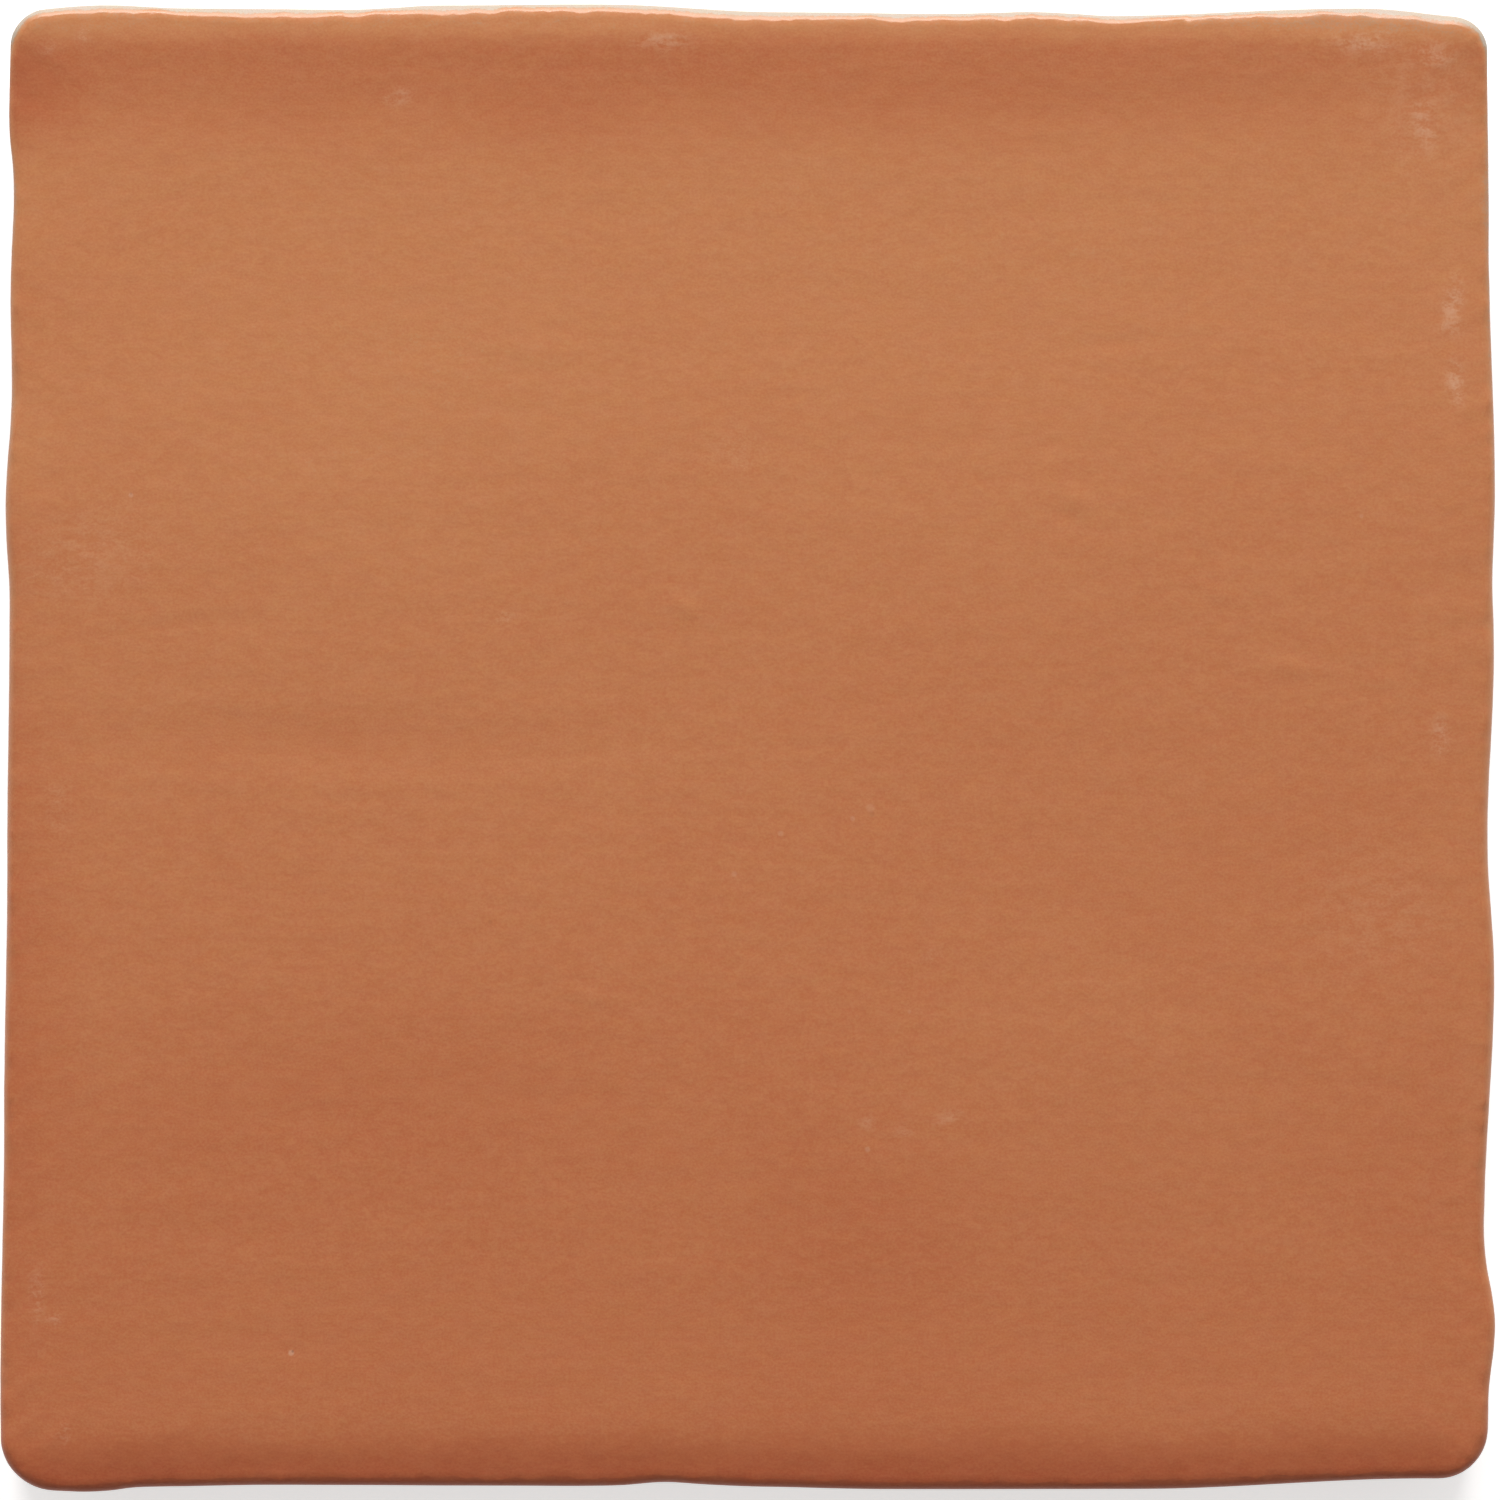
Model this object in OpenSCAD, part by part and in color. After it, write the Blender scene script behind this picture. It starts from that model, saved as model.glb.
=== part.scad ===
// Pressed ceramic wall tile with a hand-made look: wavy sides, uneven rounded corners, a
// cushioned edge and a gently swelling glazed face. The back has straight keying ribs.
// The tile lies on its ribs with the glazed face up. The origin is at the middle of the back.
// +X is the tile's right side and +Y its far side.

/* [Format] */
// Width over the widest waves of the left and right sides
face_width = 100; // [70:0.5:200]
// Length over the widest waves of the near and far sides
face_length = 99.5; // [70:0.5:200]
// Thickness from the rib lands to the highest part of the face
thickness = 9; // [7:0.25:14]

/* [Corners] */
// Radius of the corner between the far and left sides
far_left_radius = 2.4; // [2:0.1:8]
// Radius of the corner between the far and right sides
far_right_radius = 2.2; // [2:0.1:8]
// Radius of the corner between the near and left sides
near_left_radius = 3.4; // [2:0.1:8]
// Radius of the corner between the near and right sides
near_right_radius = 3.2; // [2:0.1:8]

/* [Section] */
// How far in from the side the tight curve of the arris reaches
arris_width = 0.5; // [0.3:0.1:1.8]
// How far down the side the arris reaches
arris_drop = 0.9; // [0.8:0.1:3]
// How far in from the arris the face rolls down
cushion_width = 4; // [1:0.25:10]
// How much lower the face is at the arris than further in
cushion_drop = 0.4; // [0:0.05:1]
// How much narrower the tile is at its back than at its face, on each side
side_draft = 0.35; // [0:0.05:1]
// Chamfer around the back
back_chamfer = 0.5; // [0.2:0.05:0.8]

/* [Hand-made look] */
// Strength of the waves along the four sides
edge_waviness = 1; // [0:0.1:1.5]
// Strength of the swells and hollows of the face
face_waviness = 1; // [0:0.1:1.5]

/* [Back ribs] */
// Number of keying ribs, odd so that one of them runs through the middle
rib_count = 7; // [3:2:7]
// Width of a rib at its land
rib_width = 6; // [2:0.25:7]
// Height of a rib above the floor of the grooves
rib_height = 1; // [0.4:0.1:2]
// How much wider a rib is at its root than at its land, on each side
rib_draft = 0.4; // [0:0.05:0.8]
// Bare margin between the ribs and the four sides of the back
rib_margin = 5.5; // [2:0.5:12]

/* [Hidden] */

glaze_colour = "#bd7550";
cells = 48;             // grid cells from side to side of the face
edge_crowding = 0.6;    // how much finer the grid is near the sides, from 0 to 1
arris_steps = 5;        // facets across the arris
rib_root = 0.5;         // how deep a rib is rooted in the body
half_width = face_width / 2;
half_length = face_length / 2;
side_top = thickness - cushion_drop - arris_drop;

// Crests and hollows of each side, as [place, offset], joined by smooth half waves. The place
// runs from -1 to 1 towards +X or +Y, and the offset is in millimetres, outwards.
left_side = [
    [-1.00, -0.14], [-0.86, -0.10], [-0.50, -0.34], [-0.16, -0.54], [ 0.20, -0.70],
    [ 0.32, -0.42], [ 0.49, -0.85], [ 0.61, -0.76], [ 0.76, -1.00], [ 0.85, -0.68],
    [ 1.00, -0.80]
];
right_side = [
    [-1.00, -0.55], [-0.90, -0.42], [-0.79,  0.04], [-0.67, -0.70], [-0.31, -0.02],
    [-0.13, -0.47], [ 0.14, -0.02], [ 0.22, -0.14], [ 0.35,  0.03], [ 0.70, -0.38],
    [ 1.00, -0.50]
];
near_side = [
    [-1.00, -0.20], [-0.88,  0.05], [-0.80, -0.30], [-0.65, -0.40], [-0.20, -0.33],
    [-0.09, -0.62], [-0.03, -0.32], [ 0.20, -0.12], [ 0.52, -0.13], [ 0.92, -0.85],
    [ 1.00, -0.90]
];
far_side = [
    [-1.00, -0.45], [-0.87, -0.06], [-0.76, -0.28], [-0.53, -0.36], [-0.42, -0.08],
    [-0.20, -0.01], [ 0.05, -0.53], [ 0.27, -0.64], [ 0.39, -0.51], [ 0.49, -0.77],
    [ 0.83, -0.28], [ 1.00, -0.95]
];

// Swells and hollows of the face, as [across, along, reach across, reach along, rise]. The
// places and reaches are shares of half the width and half the length, and rise is in
// millimetres.
face_swells = [
    [ 0.00,  0.80, 9.00, 0.52, -0.34], [ 0.00,  0.90, 9.00, 0.12, -0.07],
    [ 0.00, -0.92, 9.00, 0.60, -0.24], [-0.75,  0.30, 0.50, 0.30,  0.05],
    [-0.55,  0.01, 0.75, 0.08, -0.03], [ 0.65, -0.15, 0.60, 0.30, -0.05],
    [ 0.15, -0.55, 0.35, 0.25,  0.05], [ 0.45,  0.25, 0.40, 0.22,  0.04],
    [-0.45, -0.55, 0.45, 0.30, -0.05], [-0.92,  0.86, 0.20, 0.22, -0.08]
];

function sum(list) = list * [for (item = list) 1];
// From 0 to 1 along a smooth half wave
function ease(share) = (1 - cos(180 * share)) / 2;
// A smooth swell of height 1 that falls to 0 at a distance of 1
function hump(distance) = abs(distance) < 1 ? ease(1 - abs(distance)) : 0;

// How far the outline lies outside the nominal rectangle at a place along one side
function side_offset(side, place) =
    let (
        reached = [for (k = [0 : len(side) - 2]) if (side[k][0] <= place) k],
        k = len(reached) == 0 ? 0 : reached[len(reached) - 1],
        from = side[k],
        to = side[k + 1],
        share = min(1, max(0, (place - from[0]) / (to[0] - from[0])))
    ) edge_waviness * (from[1] + (to[1] - from[1]) * ease(share));

function swell(across, along) = face_waviness * sum([
    for (s = face_swells) s[4] * hump((across - s[0]) / s[2]) * hump((along - s[1]) / s[3])
]);

function corner_radius(u, v) =
    v > 0 ? (u > 0 ? far_right_radius : far_left_radius)
          : (u > 0 ? near_right_radius : near_left_radius);

// A point of the nominal rectangle with rounded corners, inset from its full size. (u, v) is
// its place from -1 to 1, and in a corner's square it is drawn in towards the arc.
function nominal_point(u, v, inset) =
    let (
        r = corner_radius(u, v) - inset,
        start_x = half_width - inset - r,
        start_y = half_length - inset - r,
        x = abs(u) * (half_width - inset),
        y = abs(v) * (half_length - inset),
        p = (x - start_x) / r,
        q = (y - start_y) / r,
        in_corner = p > 0 && q > 0
    ) [
        sign(u) * (in_corner ? start_x + r * p * sqrt(1 - q * q / 2) : x),
        sign(v) * (in_corner ? start_y + r * q * sqrt(1 - p * p / 2) : y)
    ];

// Moves a nominal point with the waves of the sides that it is near
function waved_point(point) =
    let (across = point[0] / half_width, along = point[1] / half_length) [
        point[0] + max(across, 0) * side_offset(right_side, along)
                 - max(-across, 0) * side_offset(left_side, along),
        point[1] + max(along, 0) * side_offset(far_side, across)
                 - max(-along, 0) * side_offset(near_side, across)
    ];

// Place of a grid line, from -1 to 1, closer together near the sides
function grid_line(i) =
    let (t = 2 * i / cells - 1) (1 - edge_crowding) * t + edge_crowding * sin(90 * t);

// Grid lines [i, j] around the rim, counter-clockwise from the near left corner
rim = [
    for (i = [0 : cells - 1]) [i, 0],
    for (j = [0 : cells - 1]) [cells, j],
    for (i = [0 : cells - 1]) [cells - i, cells],
    for (j = [0 : cells - 1]) [0, cells - j]
];
rim_size = len(rim);

// The outline is centred and trimmed, so that its widest waves measure the stated size
waved_rim = [for (r = rim) waved_point(nominal_point(grid_line(r[0]), grid_line(r[1]), 0))];
rim_x = [for (p = waved_rim) p[0]];
rim_y = [for (p = waved_rim) p[1]];
outline_centre = [max(rim_x) + min(rim_x), max(rim_y) + min(rim_y)] / 2;
trim_x = face_width / (max(rim_x) - min(rim_x));
trim_y = face_length / (max(rim_y) - min(rim_y));
function trimmed(point, z) =
    [(point[0] - outline_centre[0]) * trim_x, (point[1] - outline_centre[1]) * trim_y, z];

// How far the face has rolled down at a distance in from the arris of one side, from 0 to 1
function roll(distance) = let (share = 1 - min(1, distance / cushion_width)) share * share;

// Depth of the cushion at a nominal point. The rolls of the two nearest sides run smoothly
// into each other at a corner.
function cushion(point) =
    let (
        from_side = half_width - arris_width - abs(point[0]),
        from_end = half_length - arris_width - abs(point[1])
    ) cushion_drop * (1 - (1 - roll(from_side)) * (1 - roll(from_end)));

// Height of the face at a grid point, before it is levelled to the stated thickness
function face_relief(u, v) =
    let (point = nominal_point(u, v, arris_width))
    swell(point[0] / half_width, point[1] / half_length) - cushion(point);
highest_relief = max([
    for (j = [0 : cells]) for (i = [0 : cells]) face_relief(grid_line(i), grid_line(j))
]);

function face_point(u, v) =
    trimmed(
        waved_point(nominal_point(u, v, arris_width)),
        thickness + face_relief(u, v) - highest_relief
    );
function side_point(u, v, inset, z) = trimmed(waved_point(nominal_point(u, v, inset)), z);

// A point on the arris, from 0 at the side to 1 at the face
function arris_point(u, v, share) =
    let (rim_height = face_point(u, v)[2])
    side_point(
        u, v,
        arris_width * (1 - cos(90 * share)),
        side_top + (rim_height - side_top) * sin(90 * share)
    );

// Rings of points up the side, from the back to the last one below the face
side_rings = [
    [for (r = rim) side_point(
        grid_line(r[0]), grid_line(r[1]), side_draft + back_chamfer, rib_height)],
    [for (r = rim) side_point(
        grid_line(r[0]), grid_line(r[1]), side_draft, rib_height + back_chamfer)],
    for (step = [0 : arris_steps - 1])
        [for (r = rim) arris_point(grid_line(r[0]), grid_line(r[1]), step / arris_steps)]
];
face_grid = [
    for (j = [0 : cells]) for (i = [0 : cells]) face_point(grid_line(i), grid_line(j))
];
function face_index(i, j) = len(side_rings) * rim_size + j * (cells + 1) + i;
// Index of the point at a place around the rim, on a side ring or on the rim of the face
function ring_index(level, place) =
    let (k = place % rim_size)
    level < len(side_rings) ? level * rim_size + k : face_index(rim[k][0], rim[k][1]);

body_faces = [
    [for (k = [0 : rim_size - 1]) k],
    for (level = [0 : len(side_rings) - 1]) for (k = [0 : rim_size - 1]) each [
        [ring_index(level, k), ring_index(level + 1, k), ring_index(level + 1, k + 1)],
        [ring_index(level, k), ring_index(level + 1, k + 1), ring_index(level, k + 1)]
    ],
    for (j = [0 : cells - 1]) for (i = [0 : cells - 1]) each [
        [face_index(i, j), face_index(i, j + 1), face_index(i + 1, j + 1)],
        [face_index(i, j), face_index(i + 1, j + 1), face_index(i + 1, j)]
    ]
];

// The pressed body, from the floor of the grooves to the glazed face
module body() {
    polyhedron(points = [for (r = side_rings) each r, each face_grid], faces = body_faces);
}

// One straight keying rib along Y, rooted in the body
module rib(length) {
    root_width = rib_width + 2 * rib_draft;
    rotate([90, 0, 0])
        linear_extrude(length, center = true)
            polygon([
                [-rib_width / 2, 0], [rib_width / 2, 0],
                [root_width / 2, rib_height], [root_width / 2, rib_height + rib_root],
                [-root_width / 2, rib_height + rib_root], [-root_width / 2, rib_height]
            ]);
}

// The ribs that the tile lies on, spread evenly over the back
module ribs() {
    bare_edge = side_draft + back_chamfer + rib_margin;
    spread = face_width - 2 * bare_edge - rib_width;
    for (i = [0 : rib_count - 1])
        translate([spread * (i / (rib_count - 1) - 0.5), 0, 0])
            rib(face_length - 2 * bare_edge);
}

// The whole tile, fired as one piece
module ceramic_tile() {
    color(glaze_colour)
        union() {
            body();
            ribs();
        }
}

ceramic_tile();
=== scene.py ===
"""Glazed ceramic wall tile: the fired skin, its glaze and bare clay, and a plain studio.

The CAD body gives the outline and the heights. A fine skin is drawn over it by Geometry Nodes, with
the orange peel and small flaws of the glaze on its face and the keying ribs on its back.
"""

import math

import bmesh
import bpy
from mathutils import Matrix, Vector


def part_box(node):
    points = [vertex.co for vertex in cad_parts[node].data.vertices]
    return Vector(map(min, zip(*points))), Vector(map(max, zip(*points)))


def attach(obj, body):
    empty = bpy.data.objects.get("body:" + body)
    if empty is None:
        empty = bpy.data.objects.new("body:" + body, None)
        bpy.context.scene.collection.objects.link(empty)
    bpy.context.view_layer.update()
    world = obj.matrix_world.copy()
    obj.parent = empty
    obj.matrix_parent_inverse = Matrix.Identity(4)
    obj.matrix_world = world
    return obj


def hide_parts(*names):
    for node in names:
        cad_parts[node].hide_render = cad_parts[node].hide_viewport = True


MM = 0.001
QUARTER_TURN = math.pi / 2
WHITE = (1, 1, 1, 1)
NODE = "ceramic_tile"
SLOT = "satin_glaze"

# The skin's grid: cells from side to side, of which the outermost rings are folded down the sides
CELLS = 288
CHAMFER_RINGS = 3
SIDE_RINGS = 7
ARRIS_RINGS = 10
FIRST_ARRIS_RING = CHAMFER_RINGS + SIDE_RINGS
FIRST_FACE_RING = FIRST_ARRIS_RING + ARRIS_RINGS
MIDDLE_RING = CELLS / 2

# The pressed section, as on the body
ARRIS_WIDTH = 0.5 * MM
SIDE_DRAFT = 0.35 * MM
BACK_CHAMFER = 0.5 * MM

# How the skin is laid on the body
SKIN_ALLOWANCE = 0.03 * MM   # how far inside the body the skin lies before its relief is added
BODY_WELD = 0.001 * MM
SKIN_WELD = 0.002 * MM
RING_TOLERANCE = 0.01 * MM   # how far off its height an edge of the body's widest ring may lie
WALL_POINTS = 12 * CELLS
WALL_REACH = 1 * MM          # how far above and below the widest ring the wall stands
RAY_LENGTH = 1.0             # farther than any part of the tile
RAY_CLEARANCE = 1 * MM       # how far above the tile the downward rays start
BLUR_STEPS = 14
DIAGONAL_CELLS = 4.0         # how far from a diagonal of the grid the smoothing is at its full strength

# The keying ribs of the back, as on the body
RIB_COUNT = 7
RIB_WIDTH = 6 * MM
RIB_HEIGHT = 1 * MM
RIB_DRAFT = 0.4 * MM
RIB_MARGIN = 5.5 * MM
RIB_CORNER = 0.8 * MM
RIB_CORNER_POINTS = 5
# A rib's sides and then the eased edge of its land: share of the height, and share of the draft
RIB_STEPS = [(0.85, 0.9), (0.15, 0.6)]
FACING_DOWN = -0.995         # the upward part of the normal, below which a face of the back is flat
BACK_TOLERANCE = 0.01 * MM   # how far above the floor between the ribs such a face may lie

# Sizes of the patterns in the skin's relief
UNEVEN_SIZE = 3.0 * MM
PEEL_SIZE = 2.2 * MM
SWELL_SIZE = 14 * MM
RIPPLE_SIZE = 2.6 * MM
WRINKLE_SIZE = 1.9 * MM

# How a pattern is drawn out sideways, as factors on the place that it is read at
GLAZE_PULL = (0.7, 1, 1)
PATCH_PULL = (0.3, 1, 1)
WRINKLE_PULL = (0.16, 1, 1)

# How uneven the arris is, as a share of its width, and the heights of the skin's relief
RELIEF = {
    "Arris unevenness": 0.65, "Rim ripples": 0.018 * MM, "Wrinkles": 0.012 * MM,
    "Orange peel": 0.0025 * MM, "Swells": 0.012 * MM, "Far roll": 0.16 * MM,
}
MEAN_ARRIS = 1.15            # the arris's mean width and least width, as shares of the body's
LEAST_ARRIS = 0.5
RIPPLE_REACH = 4 * MM        # how far in from the arris the glaze is rippled

# The thick roll of glaze along the far side, as a wide and a narrow swell: where each starts to
# fall, where it ends, and its share of the roll's height
FAR_ROLL_REACH = 7.5 * MM
FAR_ROLL = [(0.5 * MM, FAR_ROLL_REACH, 0.7), (0.8 * MM, 0.6 * FAR_ROLL_REACH, 0.6)]

# How thin the glaze lies, from 0 where it pools to 1 where it hardly covers the clay
THINNESS = 0.55              # at the middle of the face
THINNESS_AND_LIGHT_SLOPE = 0.12        # how much more at the far side, towards the window: partly thinner glaze, partly painted light
BROAD_SIZE = 24 * MM
BROAD_SHARE = 0.03
PATCH_SIZE = 2.4 * MM
PATCH_SHARE = 0.022
FLAW_SHARE = 0.35            # how much thinner on a flaw, for each mm that it rises
RAGGEDNESS = 0.4 * MM        # how far the patches shift the bands along the sides

# Bands along the sides: where each starts to fade and where it ends, both as distances from the side,
# and how much thinner the glaze lies in it. Less than 0 is thicker. The near and far bands are partly
# painted shade, and the far line is partly a painted highlight.
NEAR_POOL_AND_SHADE = (0.2 * MM, 5.0 * MM, -0.32)
FAR_POOL_AND_SHADE = (3.2 * MM, 12.5 * MM, -1.0)
LEFT_POOL = (0.8 * MM, 3.0 * MM, -0.03)
FAR_LINE_AND_HIGHLIGHT = (1.3 * MM, 3.0 * MM, 0.24)
FAR_ARRIS_AND_HIGHLIGHT = (2.0 * MM, 5.0 * MM, 0.40)
# The far band's amount, partly pooled glaze and partly painted shade, is times its depth, which is less
# to the right: from where to where, and the depth at each
FAR_POOL_AND_SHADE_DEPTH = (15 * MM, 46 * MM, 0.21, 0.13)
# The glaze on the arris is thinner and paler away from the near side, partly as a painted highlight,
# with none on the near side, which lies in shade: from where to where, and how much thinner at each
SIDE_ARRIS_AND_HIGHLIGHT = (3.0 * MM, 12.0 * MM, 0.0, 0.16)
ARRIS_START = (0.86, 0.97)   # the share of the side's height over which the arris's glaze begins
ARRIS_TURN = (0.3, 1.0)      # the share of the arris over which it ends
ARRIS_RAG = 0.04             # how far the patches shift where it begins

# Bumps, creases and hollows of the glaze: centre, half width and half length in mm, lean in
# degrees, and rise in mm
FLAWS = [
    ((-4.2, 9.4), 1.7, 0.9, -25, 0.066), ((22.0, 16.7), 2.6, 1.0, -32, 0.035),
    ((31.5, 10.4), 2.6, 0.8, -20, 0.035), ((36.5, 5.4), 3.6, 0.9, -8, 0.045),
    ((42.4, 4.6), 2.0, 0.8, 8, 0.030), ((-10.5, -16.6), 3.6, 0.8, -12, 0.035),
    ((-27.0, 0.3), 27.0, 3.2, 0, -0.052), ((-27.0, -2.4), 25.0, 1.0, -1, 0.006),
    ((-30.5, -40.4), 0.5, 0.5, 0, -0.040), ((8.2, -4.0), 0.7, 0.6, 0, 0.020),
    ((2.2, -5.5), 0.7, 0.6, 0, 0.020), ((21.6, 15.3), 2.6, 0.9, -32, -0.035),
    ((-36.0, 8.5), 7.0, 1.0, 4, -0.022), ((-14.0, 26.5), 8.0, 1.0, -5, 0.020),
    ((24.0, 27.0), 6.0, 0.9, 8, -0.018),
]

# Where the glaze lies thicker or thinner: centre, half width and half length in mm, lean in
# degrees, and how much thinner
POOLS = [
    ((-47.8, 43.6), 5.4, 5.2, 0, -0.15), ((8.5, -32.5), 11.0, 9.5, 10, -0.05),
    ((-28.0, -24.0), 26.0, 13.0, 5, -0.05), ((29.5, -14.5), 17.0, 4.0, -36, -0.04),
    ((-12.0, 41.0), 12.0, 3.0, 0, -0.05), ((-26.0, 22.0), 30.0, 20.0, 0, 0.07),
    ((14.0, 22.0), 26.0, 16.0, 8, 0.01), ((-48.5, -2.0), 6.5, 12.0, 0, -0.06),
    ((-48.5, -22.0), 6.5, 15.0, 0, -0.07), ((-27.0, 1.2), 25.0, 2.2, 0, -0.012),
    ((-48.5, -12.0), 6.5, 8.0, 0, -0.05), ((-48.6, 20.0), 3.5, 6.0, 0, 0.07),
    ((-48.8, 36.5), 2.0, 4.0, 0, 0.06), ((48.5, -22.0), 2.0, 9.0, 0, 0.05),
    ((24.0, -20.0), 24.0, 16.0, 0, 0.03),
]

# Chalky rubbed marks on the glaze: centre, half width and half length in mm, lean in degrees,
# and how plainly each shows
SCUFFS = [
    ((41.3, 47.2), 3.6, 1.2, 0, 1.00), ((45.8, 46.3), 2.4, 1.5, 0, 0.90),
    ((45.2, 41.9), 1.5, 3.4, 5, 0.85), ((47.1, 29.6), 1.1, 2.8, -8, 1.00),
    ((47.1, 28.1), 1.4, 0.9, 0, 1.10), ((47.3, 24.4), 0.9, 2.3, 6, 1.10),
    ((46.3, 0.8), 0.9, 2.2, 0, 0.70), ((-5.6, 47.3), 3.0, 0.9, 0, 0.90),
    ((-23.4, 43.5), 1.4, 0.8, 10, 0.70), ((-47.5, -36.8), 0.7, 3.2, 0, 0.55),
    ((-45.7, -45.8), 0.6, 1.2, 0, 0.70), ((-46.3, -38.2), 0.7, 0.7, 0, 0.60),
    ((8.0, -25.0), 0.8, 0.7, 0, 0.50), ((10.5, -25.6), 1.0, 0.5, 0, 0.50),
    ((13.4, -24.7), 1.7, 0.6, 18, 0.50), ((12.3, -13.9), 1.0, 0.6, 0, 0.35),
    ((-16.3, 8.8), 0.9, 0.7, 0, 0.60), ((-46.8, 46.8), 0.9, 0.8, 0, 0.45),
    ((-44.5, 47.5), 0.8, 0.9, 0, 0.45), ((-44.0, 13.0), 7.0, 4.5, 15, 0.24),
    ((-1.0, 19.8), 3.0, 2.5, 0, 0.16), ((42.0, -11.0), 7.0, 7.0, 0, 0.16),
    ((-46.0, -4.0), 1.5, 2.8, 0, 0.25), ((45.0, 43.5), 6.0, 7.0, 0, 0.22),
]

# Dark specks and pinholes, and pale grains: centre and radius in mm, and how plainly each shows
DARK_SPECKS = [
    ((-30.4, -40.3), 0.12, 0.40), ((-41.2, 17.0), 0.10, 0.20), ((8.3, -4.4), 0.24, 0.12),
    ((-17.2, -11.6), 0.20, 0.12),
]
PALE_SPECKS = [
    ((-30.5, -40.4), 0.26, 0.28), ((-41.2, 16.9), 0.22, 0.18), ((8.2, -4.0), 0.40, 0.08),
    ((7.0, -4.7), 0.22, 0.12), ((2.2, -5.7), 0.26, 0.11), ((-0.9, -8.4), 0.26, 0.10),
    ((41.0, 15.5), 0.20, 0.10), ((8.0, -26.8), 0.24, 0.14), ((10.8, -17.6), 0.18, 0.07),
]

# Colours as linear light. The glaze's go from where it pools to where it runs thin.
GLAZE_POOLED = (0.350, 0.066, 0.022, 1)
GLAZE_RED = (0.440, 0.127, 0.047, 1)
GLAZE_OCHRE = (0.520, 0.208, 0.082, 1)
GLAZE_THIN = (0.438, 0.248, 0.145, 1)
GLAZE_BREAK_AND_HIGHLIGHT = (0.430, 0.350, 0.275, 1)   # where it all but breaks on the far arris; there it is partly a painted highlight
CHALK = (0.72, 0.52, 0.38, 1)
SPECK = (0.10, 0.035, 0.018, 1)
CLAY_DARK = (0.50, 0.28, 0.16, 1)
CLAY_PALE = (0.66, 0.42, 0.27, 1)
# Where the colours between the two ends lie on the scale of thinness, which also carries painted shade
# and highlight
GLAZE_STOPS = [(0.38, GLAZE_RED), (0.72, GLAZE_OCHRE), (0.90, GLAZE_THIN)]

# Sizes of the patterns in the glaze and the clay
LEATHER_SIZE = 0.62 * MM
GRAIN_SIZE = 0.15 * MM
WARM_SIZE = 0.9 * MM
COOL_SIZE = 1.0 * MM
GRIT_SIZE = 0.5 * MM

# How much the patterns change the glaze's thinness, its red and its blue
LEATHER_TINT = 0.045
GRAIN_TINT = 0.072
WARM_TINT = 0.020
COOL_TINT = 0.055
CHALK_SHARE = 0.28           # how far a rubbed mark goes towards chalk
CHALK_GRAIN = 0.4            # how much of the grain shows in it, beside the leathery pattern
CHALK_RANGE = (-0.9, 1.2)    # the patterns' values from which and to which it comes up
SPECK_CORE = 0.4             # the share of a speck's radius in which it is at its full strength

# Where the glaze ends on the sides
GLAZE_EDGE = 2.6 * MM
GLAZE_EDGE_RISE = 1.2 * MM   # how much higher it ends where it is thin
GLAZE_EDGE_RAG = 0.15 * MM
GLAZE_EDGE_BLUR = 0.12 * MM
GLAZE_LIP = 0.06 * MM        # how thick it is there

# The finish: roughness, how much chalk and the turn of the arris add to it, and the heights of
# the finest relief
SATIN_LOW = 0.21
SATIN_HIGH = 0.27
CHALK_DULLING = 0.3
ARRIS_DULLING = 1.1
CLAY_ROUGHNESS = 0.85
GLAZE_IOR = 1.5
LEATHER_RISE = 0.0030 * MM
GRAIN_RISE = 0.0003 * MM
CLAY_RISE = 0.012 * MM
CLAY_GRAIN_RISE = 0.004 * MM

# The studio
WORLD_FAR = 0.48
WORLD_NEAR = 0.24
WORLD_TURN = 0.8             # how far to each side the air's brightness goes on changing
WINDOW_PLACE = (0.0, 2.24, 1.344)
WINDOW_WIDTH = 1.84
WINDOW_HEIGHT = 1.76
WINDOW_RADIANCE = 9.8
WINDOW_TINT = (1.0, 0.98, 0.96)
FLOOR_SIZE = 6.0
FLOOR_DROP = 0.02 * MM       # how far below the tile's back the floor lies
FLOOR_PAINT = (0.82, 0.82, 0.82, 1)
FLOOR_ROUGHNESS = 0.9
FLOOR_GLOW = 0.55
FRAME_WIDTH = 100.3 * MM     # what the view spans at the height of the tile's outline
FRAME_CENTRE = (0.15 * MM, -0.12 * MM)   # the point below the camera
CAMERA_HEIGHT = 1.2
SENSOR_WIDTH = 36.0

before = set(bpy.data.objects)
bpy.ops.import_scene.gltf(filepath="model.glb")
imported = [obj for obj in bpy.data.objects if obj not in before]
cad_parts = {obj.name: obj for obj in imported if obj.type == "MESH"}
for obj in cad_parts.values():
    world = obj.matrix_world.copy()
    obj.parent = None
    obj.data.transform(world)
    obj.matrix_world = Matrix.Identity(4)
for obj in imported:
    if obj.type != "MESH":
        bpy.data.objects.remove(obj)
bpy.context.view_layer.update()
tile_low, tile_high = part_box(NODE)
HALF_WIDTH = (tile_high.x - tile_low.x) / 2
HALF_LENGTH = (tile_high.y - tile_low.y) / 2


# ---------------------------------------------------------------- node building

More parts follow.
